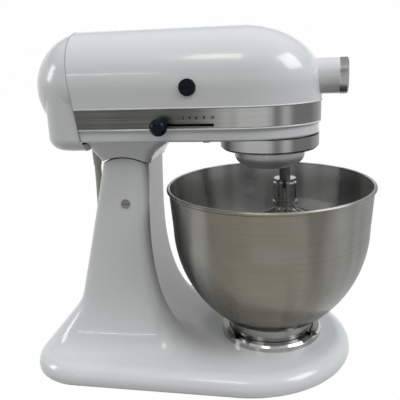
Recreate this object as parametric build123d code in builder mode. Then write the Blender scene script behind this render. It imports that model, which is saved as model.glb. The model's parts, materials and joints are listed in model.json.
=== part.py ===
from build123d import *
from math import atan2, cos, degrees, pi, radians, sin, sqrt, tan
import os

os.makedirs("parts", exist_ok=True)

# Stand mixer with a tilting head, a steel bowl and a wire whip, in millimetres.
# +X points to the attachment hub, +Z is up, and the origin is on the table under the middle of the base.

# Base and column
base_rear_x = -169.0
base_front_x = 174.5
base_width = 227.0
base_top_z = 20.5
base_rim_z = 2.0  # clear height under the casting
base_front_r = 113.0
base_rear_r = 60.0
base_edge_r = 15.5
base_lower_r = 2.2
base_wall = 6.0
column_top_z = 232.0
column_half_width = 37.5
column_rear_x = -84.0
column_front_x = -37.0
column_corner_r = 10.0
column_spread = 8.5  # half width gained from the column's top to the base
column_rear_lean = 49.0
column_front_lean = 8.0
flare_height = 150.0
bell_z = 73.0  # where the bell under the column ends
flare_side = 46.0
flare_front = 87.0
flare_corner_r = 34.0
lobe_slope = 0.85  # run of the rear lobe for each millimetre of height
column_wall = 5.0

# Feet
foot_r = 10.0
foot_height = 5.5
foot_boss_r = 14.0

# Head hinge
pin_x = -62.5
pin_z = 178.0
pin_r = 5.0
crown_r = 49.0  # round top of the column, about the pin
crown_gap = 1.5
tongue_half_width = 20.0
tongue_r = 17.0
tongue_gap = 0.4
tongue_clear = 1.5  # round the tongue, in its slot

# Head form: a barrel with an ellipsoidal nose
bowl_x = 87.0
head_axis_z = 298.0
head_r = 57.0
nose_x = 58.0
nose_length = 82.0
split_z = 269.5
band_top_z = 279.0
band_low_z = 260.0
band_recess = 1.4
band_thick = 1.0
lip_inset = 2.5
belly_z = 246.0
lip_edge_r = 2.5
seam_x = -101.0
seam_tilt = 8.0
cover_x = -110.0
cover_dome = 50.5
skirt_half_width = 55.6
skirt_rear_x = -144.0
skirt_low_z = 236.0
skirt_corner_r = 30.0
skirt_edge_r = 14.0
cover_wall = 3.0
neck_rear_x = -101.0
neck_front_x = -6.0

# Motor and drive train
motor_z = 299.3
tunnel_r = 44.0
shaft_r = 5.0
bearing_r = 10.0
bearing_thick = 5.0
rear_plate_x = -100.0
fan_x = -92.0
rotor_x = -76.0
rotor_length = 50.0
rotor_r = 26.0
commutator_r = 15.0
run_gap = 0.05  # radial running clearance
brush_x = 13.5
brush_cap_r = 8.3
brush_holder_r = 6.0
bulkhead_x = 21.0
bulkhead_thick = 6.5
chamber_wall = 4.0
chamber_floor = 5.0
gear_module = 2.0
drive_teeth = 34
idler_teeth = 12
gear_face = 8.0
worm_teeth = 20
worm_pitch = 5.5
worm_r = 6.0
worm_depth = 1.2  # offset of the turning section, half the thread depth
worm_length = 24.0
bevel_module = 2.1
bevel_teeth = 18
hub_teeth = 12
bevel_share = 0.66  # small end of the bevel teeth against the large end
planet_module = 2.8
ring_teeth = 30
pinion_teeth = 10
planet_angle = 57.6  # where the beater stands in its round
drive_shaft_r = 7.0
bush_wall = 4.0

# Hub
hub_z = 302.5
hub_sleeve_r = 17.6
hub_bore_r = 13.5
hub_rear_x = 110.0
hub_bore_x = 124.0
hub_ring_x = 156.5
hub_ring_r = 16.6
hub_end_x = 162.5
hub_shaft_r = 12.4
hub_collar_r = 10.5
hub_screw_x = 145.5
hub_screw_r = 3.0
hub_knob_r = 10.0

# Drip cup, planetary and whip
cup_r = 51.0
cup_low_z = 231.6
cup_wall = 1.6
carrier_r = 36.5
carrier_low_z = 212.0
carrier_top_z = 233.5
beater_shaft_r = 6.0
beater_pin_r = 1.75
beater_pin_z = 181.0
planetary_pin_r = 2.0
planetary_pin_z = 227.0
whip_top_z = 192.0
whip_hub_low_z = 163.0
whip_low_z = 48.0
whip_r = 52.0
wire_r = 1.1
wire_loops = 6
wire_step = 2.6  # how much deeper each loop hangs than the next

# Bowl and clamp plate
bowl_r = 108.5
bowl_rim_z = 190.0
bowl_wall = 1.2
bowl_shoulder_r = 105.4
bowl_shoulder_z = 147.3
bowl_side_r = 129.0
bowl_side_turn = 56.0
bowl_knuckle_r = 40.0
bowl_foot_r = 46.5
bowl_foot_top_z = 40.0
bead_r = 2.0
plate_r = 56.0
plate_floor_z = 22.5
plate_rim_z = 27.5
plate_lip_r = 47.4
plate_screw_r = 4.0
plate_screw_ring_r = 30.0
lug_reach = 4.2
lug_start = 25.0
bowl_twist = 30.0  # turn from clamped to free

# Speed lever
speed_x = -14.0
speed_z = 263.0
speed_travel = 46.0
speed_knob_r = 8.7
blade_thick = 1.8
blade_width = 7.0

# Lock lever
lock_shaft_r = 4.5
lock_radius = 64.0  # from the hinge pin
lock_angle = 95.0
lock_turn = 75.0
finger_length = 21.0
finger_half = 4.0
finger_y = 24.0
finger_thick = 8.0

# Mains cord
cord_r = 3.75
cord_exit_x = -105.0


# The shapes are drawn about the middle of the base and shifted so that the origin is under the overall middle
frame_shift = (bowl_x + bowl_r + bead_r + base_rear_x) / 2


def write(builder, name):
    piece = builder.part.moved(Location((-frame_shift, 0, 0)))
    piece.label = name
    export_step(piece, f"parts/{name}.step")


def rounded_plan(x_rear, x_front, half_width, r_rear, r_front):
    # Plan outline with its own front and rear corner radii
    with BuildLine() as plan:
        FilletPolyline(
            (x_rear, -half_width),
            (x_front, -half_width),
            (x_front, half_width),
            (x_rear, half_width),
            radius=[r_rear, r_front, r_front, r_rear],
            close=True,
        )
    make_face(plan.edges())


def column_plan(z, inset):
    # The column leans and tapers evenly and swells into the base, level with the base's top where it ends.
    # Its rear follows a sloping lobe that touches the round edge of the base.
    drop = (column_top_z - z) / (column_top_z - base_top_z)
    rise = min(max((z - base_top_z) / flare_height, 0), 1)
    flare = (1 - sqrt(rise)) ** 2
    half = column_half_width + column_spread * drop + flare_side * flare - inset
    lobe_x = lobe_foot_x + lobe_slope * (z - lobe_foot_z)
    rear = min(column_rear_x - column_rear_lean * drop, lobe_x) + inset
    front = column_front_x - column_front_lean * drop + flare_front * flare - inset
    corner = column_corner_r + flare_corner_r * flare - 0.6 * inset
    rounded_plan(rear, front, half, corner, corner)


def about_y(x, z):
    # Plane with its normal along +Y through a point of the XZ plane
    return Plane((x, 0, z), x_dir=(1, 0, 0), z_dir=(0, 1, 0))


# Pedestal
lobe_lean = atan2(lobe_slope, 1)
lobe_foot_x = base_rear_x + base_edge_r * (1 - cos(lobe_lean))
lobe_foot_z = base_top_z - base_edge_r * (1 - sin(lobe_lean))
lock_x = pin_x + lock_radius * cos(radians(lock_angle))
lock_z = pin_z + lock_radius * sin(radians(lock_angle))
pocket_r = finger_length + 1.5
slot_front_x = pin_x + tongue_r + tongue_clear
foot_places = [
    (base_rear_x + 40, base_width / 2 - 34),
    (base_rear_x + 40, 34 - base_width / 2),
    (35, base_width / 2 - 26),
    (35, 26 - base_width / 2),
    (base_front_x - 34, 0),
]
with BuildPart() as pedestal:
    with BuildSketch(Plane.XY.offset(base_rim_z)):
        rounded_plan(base_rear_x, base_front_x, base_width / 2, base_rear_r, base_front_r)
    extrude(amount=base_top_z - base_rim_z)
    fillet(pedestal.edges().group_by(Axis.Z)[-1], radius=base_edge_r)
    fillet(pedestal.edges().group_by(Axis.Z)[0], radius=base_lower_r)
    with BuildSketch(Plane.XY.offset(base_top_z)):
        column_plan(base_top_z, 0)
    extrude(amount=lobe_foot_z - base_top_z)
    for levels in ((base_top_z, 26, 33, 43, 56, bell_z), (bell_z, 98, 130, 172, column_top_z)):
        for z in levels:
            with BuildSketch(Plane.XY.offset(z)):
                column_plan(z, 0)
        loft()
    # Hollow underside, up into the column
    with BuildSketch(Plane.XY.offset(base_rim_z)):
        rounded_plan(
            base_rear_x + base_wall,
            base_front_x - base_wall,
            base_width / 2 - base_wall,
            base_rear_r - base_wall,
            base_front_r - base_wall,
        )
    extrude(amount=base_top_z - base_rim_z - base_wall, mode=Mode.SUBTRACT)
    for z in (base_top_z - base_wall - 0.5, 30, 42, 60, 90, 130):
        with BuildSketch(Plane.XY.offset(z)):
            column_plan(z + column_wall, column_wall)
    loft(mode=Mode.SUBTRACT)
    with BuildSketch(Plane.XY.offset(foot_height)):
        with Locations(*foot_places):
            Circle(foot_boss_r)
    extrude(amount=base_top_z - foot_height - 2)
    # Round crown about the hinge pin
    with BuildSketch(Plane.XZ):
        with Locations((pin_x, pin_z + 60)):
            Rectangle(260, 84)
        with Locations((pin_x, pin_z)):
            Circle(crown_r, mode=Mode.SUBTRACT)
    extrude(amount=base_width, both=True, mode=Mode.SUBTRACT)
    # Slot for the hinge tongue, open at the top and the rear
    with BuildSketch(Plane.XZ):
        with Locations((pin_x, pin_z)):
            Circle(tongue_r + tongue_clear)
        with Locations((slot_front_x, pin_z)):
            Rectangle(120, 80, align=(Align.MAX, Align.MIN))
        with Locations((pin_x, pin_z - 0.8 * tongue_r)):
            Rectangle(80, 40, align=(Align.MAX, Align.MIN))
    extrude(amount=tongue_half_width + tongue_gap, both=True, mode=Mode.SUBTRACT)
    with Locations(about_y(pin_x, pin_z)):
        Cylinder(pin_r, base_width, mode=Mode.SUBTRACT)
    # Pocket for the lock finger in the far ear
    with BuildSketch(about_y(lock_x, lock_z).offset(finger_y - 0.5)):
        Circle(pocket_r)
        with Locations((-finger_half - 0.6, 0)):
            Rectangle(60, 80, align=(Align.MAX, Align.CENTER), mode=Mode.SUBTRACT)
    extrude(amount=finger_thick + 1, mode=Mode.SUBTRACT)
    # Seat of the bowl clamp plate
    with Locations((bowl_x, 0, base_top_z)):
        Cylinder(plate_r, 40, align=(Align.CENTER, Align.CENTER, Align.MIN), mode=Mode.SUBTRACT)
write(pedestal, "pedestal")

with BuildPart() as rubber_feet:
    with BuildSketch():
        with Locations(*foot_places):
            Circle(foot_r)
    extrude(amount=foot_height)
    chamfer(rubber_feet.edges().group_by(Axis.Z)[0], length=1)
write(rubber_feet, "rubber_feet")

with BuildPart() as hinge_pin:
    with Locations(about_y(pin_x, pin_z)):
        Cylinder(pin_r, 2 * column_half_width + 6)
    with Locations((pin_x, column_half_width + 3, pin_z), (pin_x, -column_half_width - 3, pin_z)):
        Box(2 * pin_r, 2, 1.4, mode=Mode.SUBTRACT)
write(hinge_pin, "hinge_pin")

# Bowl clamp plate: a dish with an undercut groove, and four notches that let the bowl's lugs in
bowl_axis = Axis((bowl_x, 0, 0), (0, 0, 1))
screw_angles = [radians(a) for a in (90, 210, 330)]
screw_places = [
    (bowl_x + plate_screw_ring_r * cos(a), plate_screw_ring_r * sin(a)) for a in screw_angles
]
with BuildPart() as bowl_clamp_plate:
    with BuildSketch(Plane.XZ):
        with BuildLine():
            Polyline(
                (bowl_x, base_top_z),
                (bowl_x + plate_r, base_top_z),
                (bowl_x + plate_r, plate_rim_z - 2),
                (bowl_x + plate_r - 2, plate_rim_z),
                (bowl_x + plate_lip_r, plate_rim_z),
                (bowl_x + plate_lip_r, plate_rim_z - 2.2),
                (bowl_x + bowl_foot_r + lug_reach + 1, plate_rim_z - 2.2),
                (bowl_x + bowl_foot_r + lug_reach + 1, plate_floor_z),
                (bowl_x, plate_floor_z),
                close=True,
            )
        make_face()
    revolve(axis=bowl_axis)
    with Locations((bowl_x, 0, plate_rim_z)):
        with PolarLocations(bowl_foot_r + 2, 4, start_angle=lug_start + bowl_twist):
            Box(12, 26, 4.6, mode=Mode.SUBTRACT)
    with BuildSketch(Plane.XY.offset(base_top_z)):
        with Locations(*screw_places):
            Circle(plate_screw_r)
    extrude(amount=5, mode=Mode.SUBTRACT)
write(bowl_clamp_plate, "bowl_clamp_plate")

with BuildPart() as clamp_plate_screws:
    with BuildSketch(Plane.XY.offset(base_top_z)):
        with Locations(*screw_places):
            Circle(plate_screw_r)
    extrude(amount=plate_floor_z - base_top_z)
    for place in screw_places:
        with Locations((place[0], place[1], plate_floor_z)):
            Box(6.5, 1.2, 1.6, mode=Mode.SUBTRACT)
write(clamp_plate_screws, "clamp_plate_screws")


# Bowl: a flat floor, two arcs, a nearly straight wall and a rolled rim
def bowl_round(inset):
    side_x = bowl_x + bowl_shoulder_r - bowl_side_r
    turn = radians(bowl_side_turn)
    knuckle_x = side_x + (bowl_side_r - bowl_knuckle_r) * cos(turn)
    knuckle_z = bowl_shoulder_z - (bowl_side_r - bowl_knuckle_r) * sin(turn)
    with BuildPart() as form:
        with BuildSketch(Plane.XZ):
            with BuildLine():
                side = CenterArc((side_x, bowl_shoulder_z), bowl_side_r - inset, 0, -bowl_side_turn)
                knuckle = CenterArc(
                    (knuckle_x, knuckle_z), bowl_knuckle_r - inset, -bowl_side_turn, bowl_side_turn - 90
                )
                Polyline(
                    knuckle @ 1,
                    (bowl_x, knuckle_z - bowl_knuckle_r + inset),
                    (bowl_x, bowl_rim_z),
                    (bowl_x + bowl_r - inset, bowl_rim_z),
                    side @ 0,
                )
            make_face()
        revolve(axis=bowl_axis)
    return form.part


bowl_outside = bowl_round(0)
bowl_inside = bowl_round(bowl_wall)
with BuildPart() as bowl_shell:
    add(bowl_outside)
    with BuildSketch(Plane.XZ):
        with BuildLine():
            Polyline(
                (bowl_x + bowl_r - bowl_wall, bowl_rim_z - bead_r),
                (bowl_x + bowl_r - bowl_wall, bowl_rim_z + 0.7 * bead_r),
                (bowl_x + bowl_r - 0.3 * bowl_wall, bowl_rim_z + bead_r),
                (bowl_x + bowl_r + 0.5 * bead_r, bowl_rim_z + bead_r),
                (bowl_x + bowl_r + bead_r, bowl_rim_z + 0.4 * bead_r),
                (bowl_x + bowl_r + bead_r, bowl_rim_z - 0.4 * bead_r),
                (bowl_x + bowl_r + 0.5 * bead_r, bowl_rim_z - bead_r),
                close=True,
            )
        make_face()
    revolve(axis=bowl_axis)
    add(bowl_inside, mode=Mode.SUBTRACT)
write(bowl_shell, "bowl_shell")

with BuildPart() as bowl_foot:
    with BuildSketch(Plane.XY.offset(plate_floor_z + 0.1)):
        with Locations((bowl_x, 0)):
            Circle(bowl_foot_r)
            Circle(bowl_foot_r - 2.5, mode=Mode.SUBTRACT)
    extrude(amount=bowl_foot_top_z + 3 - plate_floor_z)
    with BuildSketch(Plane.XY.offset(plate_floor_z + 0.5)):
        with Locations((bowl_x, 0)):
            with PolarLocations(bowl_foot_r + lug_reach / 2, 4, start_angle=lug_start):
                Rectangle(lug_reach + 1.6, 18)
            Circle(bowl_foot_r + lug_reach, mode=Mode.INTERSECT)
    extrude(amount=1.8)
    add(bowl_outside, mode=Mode.SUBTRACT)
write(bowl_foot, "bowl_foot")


# Head castings
def head_plan(x_back, inset, mode=Mode.ADD):
    # Plan of the head: straight sides and a half-elliptical nose
    half = head_r - inset
    with BuildLine() as plan:
        Polyline((nose_x, -half), (x_back, -half), (x_back, half), (nose_x, half))
        EllipticalCenterArc((nose_x, 0), nose_length - inset, half, start_angle=270, arc_size=180)
    make_face(plan.edges(), mode=mode)


def head_form(inset, x_back, z_low):
    # Half barrel and ellipsoidal nose above the axis, straight walls below it
    half = head_r - inset
    with BuildPart() as form:
        with BuildSketch(Plane.YZ.offset(x_back)):
            with Locations((0, head_axis_z)):
                Circle(half)
            with Locations((0, z_low)):
                Rectangle(2 * half, head_axis_z - z_low, align=(Align.CENTER, Align.MIN))
        extrude(amount=nose_x - x_back)
        with BuildSketch(Plane.XZ):
            with BuildLine():
                EllipticalCenterArc(
                    (nose_x, head_axis_z), nose_length - inset, half, start_angle=0, arc_size=90
                )
                Polyline(
                    (nose_x, head_axis_z + half),
                    (nose_x, head_axis_z),
                    (nose_x + nose_length - inset, head_axis_z),
                )
            make_face()
        revolve(axis=Axis((0, 0, head_axis_z), (1, 0, 0)))
        with BuildSketch(Plane.XY.offset(z_low)):
            head_plan(nose_x - 1, inset)
        extrude(amount=head_axis_z - z_low)
        split(bisect_by=Plane.XY.offset(z_low), keep=Keep.TOP)
    return form.part


def along_x(x, z, y=0):
    # Plane with its normal along +X through a point
    return Plane((x, y, z), x_dir=(0, 1, 0), z_dir=(1, 0, 0))


def rod(place, radius, length, mode=Mode.ADD):
    # Cylinder that starts on a plane and runs along its normal
    with Locations(place):
        Cylinder(radius, length, align=(Align.CENTER, Align.CENTER, Align.MIN), mode=mode)


seam_angle = radians(seam_tilt)
seam = Plane((seam_x, 0, band_low_z), x_dir=(0, 1, 0), z_dir=(cos(seam_angle), 0, sin(seam_angle)))
chamber_x = bulkhead_x + bulkhead_thick
barrel_back_x = seam_x - 20
idler_distance = gear_module * (drive_teeth + idler_teeth) / 2
idler_y = worm_teeth * worm_pitch / (2 * pi) + worm_r
idler_x = bowl_x - sqrt(idler_distance**2 - idler_y**2)
chamber = head_form(chamber_wall, chamber_x, belly_z + chamber_floor)
head_shape = head_form(0, barrel_back_x, band_top_z)
slot_low_x = speed_x - 6
slot_high_x = speed_x + speed_travel + 6

with BuildPart() as motor_housing:
    add(head_shape)
    with BuildSketch(Plane.XY.offset(split_z)):
        head_plan(barrel_back_x, band_recess)
    extrude(amount=band_top_z - split_z)
    add(chamber, mode=Mode.SUBTRACT)
    rod(Plane((idler_x, idler_y, head_axis_z + 11)), 9, 33)
    rod(along_x(hub_rear_x + 2, hub_z), hub_sleeve_r + 5, 17)
    rod(along_x(barrel_back_x - 20, motor_z), tunnel_r, bulkhead_x - barrel_back_x + 20, Mode.SUBTRACT)
    rod(along_x(bulkhead_x - 5, motor_z), bearing_r, bulkhead_thick + 10, Mode.SUBTRACT)
    rod(along_x(hub_rear_x - 8, hub_z), hub_sleeve_r, 60, Mode.SUBTRACT)
    rod(Plane((idler_x, idler_y, head_axis_z + 9)), shaft_r + run_gap, 17, Mode.SUBTRACT)
    with Locations(about_y(brush_x, motor_z)):
        Cylinder(brush_holder_r, 2 * head_r, mode=Mode.SUBTRACT)
    for side in (-1, 1):
        with Locations((brush_x, side * (head_r + 3), motor_z)):
            Cylinder(brush_cap_r, 20, rotation=(90, 0, 0), mode=Mode.SUBTRACT)
    split(bisect_by=seam, keep=Keep.TOP)
write(motor_housing, "motor_housing")


def neck_plan(x_rear, x_front, half_width, corner):
    rounded_plan(x_rear, x_front, half_width, corner, corner)


tongue_front_x = pin_x + tongue_r
bush_r = drive_shaft_r + run_gap + bush_wall
with BuildPart() as lower_gear_case:
    with BuildSketch(Plane.XY.offset(belly_z)):
        head_plan(barrel_back_x, lip_inset)
    extrude(amount=band_low_z - belly_z)
    fillet(lower_gear_case.edges().group_by(Axis.Z)[0], radius=lip_edge_r)
    with BuildSketch(Plane.XY.offset(band_low_z)):
        head_plan(barrel_back_x, band_recess)
    extrude(amount=split_z - band_low_z)
    # Neck down to the column
    with BuildSketch(Plane.XY.offset(band_low_z - 4)):
        neck_plan(neck_rear_x - 4, neck_front_x, head_r - 4, 14)
    with BuildSketch(Plane.XY.offset(belly_z)):
        neck_plan(neck_rear_x, neck_front_x - 4, head_r - 7, 14)
    with BuildSketch(Plane.XY.offset(belly_z - 11)):
        neck_plan(neck_rear_x + 5, neck_front_x - 18, column_half_width + 6.5, 12)
    with BuildSketch(Plane.XY.offset(belly_z - 22)):
        neck_plan(column_rear_x - 4, column_front_x + 3.5, column_half_width + 2, 10)
    with BuildSketch(Plane.XY.offset(belly_z - 42)):
        neck_plan(column_rear_x - 6, column_front_x + 1.5, column_half_width + 1, 10)
    loft()
    with Locations(about_y(pin_x, pin_z)):
        Cylinder(crown_r + crown_gap, 4 * head_r, mode=Mode.SUBTRACT)
    # Hinge tongue
    with BuildSketch(Plane.XZ):
        with Locations((pin_x, pin_z)):
            Circle(tongue_r)
        with Locations((pin_x, pin_z)):
            Rectangle(2 * tongue_r, belly_z - pin_z, align=(Align.CENTER, Align.MIN))
    extrude(amount=tongue_half_width, both=True)
    with Locations(about_y(pin_x, pin_z)):
        Cylinder(pin_r + run_gap, 4 * head_r, mode=Mode.SUBTRACT)
    # Motor tunnel and gear chamber
    rod(along_x(barrel_back_x - 20, motor_z), tunnel_r, bulkhead_x - barrel_back_x + 20, Mode.SUBTRACT)
    add(chamber, mode=Mode.SUBTRACT)
    rod(Plane((idler_x, idler_y, belly_z)), 10, chamber_floor + 6)
    rod(Plane((idler_x, idler_y, belly_z + 2)), shaft_r + run_gap, 30, Mode.SUBTRACT)
    rod(Plane((bowl_x, 0, belly_z)), bush_r + 4, chamber_floor + 6)
    rod(Plane((bowl_x, 0, belly_z)), bush_r, 30, Mode.SUBTRACT)
    # Lock shaft and finger pocket
    rod(about_y(lock_x, lock_z).offset(finger_y - 4), lock_shaft_r + run_gap, 60, Mode.SUBTRACT)
    with BuildSketch(about_y(lock_x, lock_z).offset(finger_y - 0.5)):
        Circle(pocket_r)
        with Locations((0, -6)):
            Rectangle(60, 60, align=(Align.CENTER, Align.MAX), mode=Mode.SUBTRACT)
    extrude(amount=finger_thick + 1, mode=Mode.SUBTRACT)
    # Speed lever pocket with its slot
    with Locations(((slot_low_x + slot_high_x) / 2, 10 - head_r, speed_z)):
        Box(slot_high_x - slot_low_x, 26, 3, mode=Mode.SUBTRACT)
    with Locations(((slot_low_x + slot_high_x) / 2, 14 - head_r, speed_z)):
        Box(slot_high_x - slot_low_x + 4, 16, 12, mode=Mode.SUBTRACT)
    split(bisect_by=seam, keep=Keep.TOP)
write(lower_gear_case, "lower_gear_case")


# End cover: a spherical dome behind the barrel, and a skirt that hangs below it
dome_r = (head_r**2 + cover_dome**2) / (2 * cover_dome)


def cover_form(inset):
    half = head_r - inset
    tip_x = cover_x - cover_dome + inset
    floor_z = skirt_low_z + 2.5 * inset
    with BuildPart() as form:
        with BuildSketch(Plane.YZ.offset(cover_x)):
            with Locations((0, head_axis_z)):
                Circle(half)
        extrude(amount=40)
        with BuildSketch(Plane.XZ):
            with BuildLine():
                RadiusArc((tip_x, head_axis_z), (cover_x, head_axis_z + half), dome_r - inset)
                Polyline((tip_x, head_axis_z), (cover_x, head_axis_z), (cover_x, head_axis_z + half))
            make_face()
        revolve(axis=Axis((0, 0, head_axis_z), (1, 0, 0)))
        with BuildSketch(Plane.XY.offset(floor_z)):
            rounded_plan(
                skirt_rear_x + inset, cover_x + 40, skirt_half_width - inset, skirt_corner_r - inset, 2
            )
        extrude(amount=head_axis_z - floor_z)
    return form.part


cover_outside = cover_form(0)
cover_inside = cover_form(cover_wall)
with BuildPart() as end_cover:
    add(cover_outside)
    low_edges = end_cover.edges().group_by(Axis.Z)[0]
    fillet(low_edges, radius=skirt_edge_r)
    add(cover_inside, mode=Mode.SUBTRACT)
    rod(Plane((cord_exit_x, 0, skirt_low_z - 5)), cord_r + 1.6, 20, Mode.SUBTRACT)
    split(bisect_by=seam, keep=Keep.BOTTOM)
write(end_cover, "end_cover")

with BuildPart() as trim_band:
    with BuildSketch(Plane.XY.offset(band_low_z + 0.3)):
        head_plan(barrel_back_x, band_recess - band_thick)
        head_plan(barrel_back_x - 5, band_recess, Mode.SUBTRACT)
    extrude(amount=band_top_z - band_low_z - 0.6)
    with Locations(((slot_low_x + slot_high_x) / 2, -head_r, speed_z)):
        Box(slot_high_x - slot_low_x, 8, 3, mode=Mode.SUBTRACT)
    split(bisect_by=seam.offset(0.6), keep=Keep.TOP)
write(trim_band, "trim_band")

# Hub sleeve, ring and cap
with BuildPart() as hub_sleeve:
    rod(along_x(hub_rear_x, hub_z), hub_sleeve_r, hub_ring_x - hub_rear_x)
    rod(along_x(hub_bore_x, hub_z), hub_bore_r, 80, Mode.SUBTRACT)
    rod(along_x(hub_rear_x, hub_z), hub_shaft_r + run_gap, 40, Mode.SUBTRACT)
    rod(about_y(hub_screw_x, hub_z), hub_screw_r + run_gap, 40, Mode.SUBTRACT)
write(hub_sleeve, "hub_sleeve")

with BuildPart() as hub_ring:
    rod(along_x(hub_ring_x, hub_z), hub_ring_r, hub_end_x - hub_ring_x)
    rod(along_x(hub_ring_x, hub_z), hub_bore_r, 20, Mode.SUBTRACT)
write(hub_ring, "hub_ring")

# The cap pulls off over the ring
with BuildPart() as hub_cap:
    rod(along_x(hub_ring_x + 0.6, hub_z), hub_sleeve_r + 0.3, hub_end_x - hub_ring_x + 2)
    chamfer(hub_cap.edges().group_by(Axis.X)[-1], length=1.2)
    rod(along_x(hub_ring_x, hub_z), hub_ring_r + run_gap, hub_end_x - hub_ring_x, Mode.SUBTRACT)
write(hub_cap, "hub_cap")

with BuildPart() as attachment_screw:
    rod(about_y(hub_screw_x, hub_z).offset(hub_bore_r + 0.5), hub_screw_r, 20)
write(attachment_screw, "attachment_screw")

with BuildPart() as attachment_knob:
    with BuildSketch(about_y(hub_screw_x, hub_z).offset(hub_sleeve_r + 1.5)):
        Circle(hub_knob_r)
        with PolarLocations(hub_knob_r + 1.2, 6):
            Circle(3, mode=Mode.SUBTRACT)
    extrude(amount=12)
    chamfer(attachment_knob.faces().sort_by(Axis.Y)[-1].edges(), length=1)
    rod(about_y(hub_screw_x, hub_z).offset(hub_bore_r + 0.5), hub_screw_r, 20, Mode.SUBTRACT)
write(attachment_knob, "attachment_knob")

# Brushes
with BuildPart() as brush_caps:
    for side in (-1, 1):
        with Locations((brush_x, side * (head_r - 2.5), motor_z)):
            Cylinder(brush_cap_r - 0.1, 9, rotation=(90, 0, 0))
        with Locations((brush_x, side * (head_r + 2), motor_z)):
            Box(11, 3, 2, mode=Mode.SUBTRACT)
write(brush_caps, "brush_caps")

with BuildPart() as brush_holders:
    for side in (-1, 1):
        with Locations((brush_x, side * 38.5, motor_z)):
            Cylinder(brush_holder_r, 23, rotation=(90, 0, 0))
            Box(7, 60, 7, mode=Mode.SUBTRACT)
write(brush_holders, "brush_holders")

with BuildPart() as carbon_brushes:
    for side in (-1, 1):
        with Locations((brush_x, side * (commutator_r + 0.2 + 11), motor_z)):
            Box(6.8, 22, 6.8)
    rod(along_x(0, motor_z), commutator_r + 0.2, 40, Mode.SUBTRACT)
write(carbon_brushes, "carbon_brushes")

# Motor
with BuildPart() as field_stator:
    with BuildSketch(along_x(rotor_x, motor_z)):
        Circle(tunnel_r)
        Circle(tunnel_r - 7, mode=Mode.SUBTRACT)
        with PolarLocations(0, 2):
            with BuildLine():
                Polyline((28, -15), (40, -15), (40, 15), (28, 15), close=True)
            make_face()
        Circle(rotor_r + 1, mode=Mode.SUBTRACT)
    extrude(amount=rotor_length)
write(field_stator, "field_stator")

with BuildPart() as field_coils:
    for x in (rotor_x - 6, rotor_x + rotor_length):
        with BuildSketch(along_x(x, motor_z)):
            for turn in (0, 180):
                with Locations((35 * cos(radians(turn)), 0)):
                    RectangleRounded(9, 40, 4)
        extrude(amount=6)
write(field_coils, "field_coils")

with BuildPart() as rear_bearing_plate:
    rod(along_x(rear_plate_x, motor_z), tunnel_r, bearing_thick)
    rod(along_x(rear_plate_x - 1, motor_z), bearing_r, bearing_thick + 3, Mode.SUBTRACT)
    with Locations(along_x(rear_plate_x + bearing_thick / 2, motor_z)):
        with PolarLocations(26, 4, start_angle=45):
            Cylinder(8, 10, mode=Mode.SUBTRACT)
write(rear_bearing_plate, "rear_bearing_plate")

with BuildPart() as motor_bearings:
    rod(along_x(rear_plate_x, motor_z), bearing_r, bearing_thick)
    rod(along_x(bulkhead_x, motor_z), bearing_r, bulkhead_thick)
    rod(along_x(rear_plate_x - 10, motor_z), shaft_r + run_gap, 160, Mode.SUBTRACT)
write(motor_bearings, "motor_bearings")

with BuildPart() as rotor_core:
    with BuildSketch(along_x(rotor_x, motor_z)):
        Circle(rotor_r)
        with PolarLocations(rotor_r - 3, 12):
            Rectangle(10, 2.4, mode=Mode.SUBTRACT)
        Circle(shaft_r, mode=Mode.SUBTRACT)
    extrude(amount=rotor_length)
write(rotor_core, "rotor_core")

with BuildPart() as commutator:
    with BuildSketch(along_x(brush_x - 8, motor_z)):
        Circle(commutator_r)
        Circle(shaft_r, mode=Mode.SUBTRACT)
    extrude(amount=15)
write(commutator, "commutator")

with BuildPart() as cooling_fan:
    with BuildSketch(along_x(fan_x, motor_z)):
        Circle(38)
        Circle(shaft_r, mode=Mode.SUBTRACT)
    extrude(amount=1.6)
    with BuildSketch(along_x(fan_x + 1.6, motor_z)):
        with PolarLocations(26, 10):
            Rectangle(22, 1.6)
    extrude(amount=6)
    rod(along_x(fan_x, motor_z), 9, 8)
    rod(along_x(fan_x, motor_z), shaft_r, 8, Mode.SUBTRACT)
write(cooling_fan, "cooling_fan")

# Worm: a section beside the shaft's axis is carried round it by equal steps
worm_x = idler_x - worm_length / 2
steps_per_turn = 10
worm_steps = round(worm_length / worm_pitch * steps_per_turn)
with BuildPart() as armature_shaft:
    rod(along_x(rear_plate_x - 4, motor_z), shaft_r, worm_x - rear_plate_x + 4)
    for i in range(worm_steps + 1):
        along = worm_x + i * worm_pitch / steps_per_turn
        turn = pi + 2 * pi * (along - idler_x) / worm_pitch
        with BuildSketch(along_x(along, motor_z)):
            with Locations((worm_depth * cos(turn), worm_depth * sin(turn))):
                RegularPolygon(worm_r, 12)
    loft(ruled=True)
write(armature_shaft, "armature_shaft")


def gear_face_plan(teeth, tip, root, phase, tip_share=0.11, root_share=0.27):
    # Straight-flanked teeth; the shares are half a tooth against the pitch
    pitch = 2 * pi / teeth
    points = []
    for i in range(teeth):
        middle = radians(phase) + i * pitch
        for radius, share in ((root, -root_share), (tip, -tip_share), (tip, tip_share), (root, root_share)):
            points.append((radius * cos(middle + share * pitch), radius * sin(middle + share * pitch)))
    with BuildLine() as outline:
        Polyline(*points, close=True)
    make_face(outline.edges())


# Idler: worm wheel and pinion on one upright shaft
idler_direction = degrees(atan2(-idler_y, bowl_x - idler_x))
wheel_r = worm_teeth * worm_pitch / (2 * pi)
idler_base = Plane((idler_x, idler_y, 0))
drive_gear_z = band_low_z
with BuildPart() as worm_wheel:
    with BuildSketch(idler_base.offset(motor_z - gear_face / 2)):
        gear_face_plan(worm_teeth, wheel_r + 0.9, wheel_r - 1.5, -90, 0.06, 0.27)
        Circle(shaft_r, mode=Mode.SUBTRACT)
    extrude(amount=gear_face)
write(worm_wheel, "worm_wheel")

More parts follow.
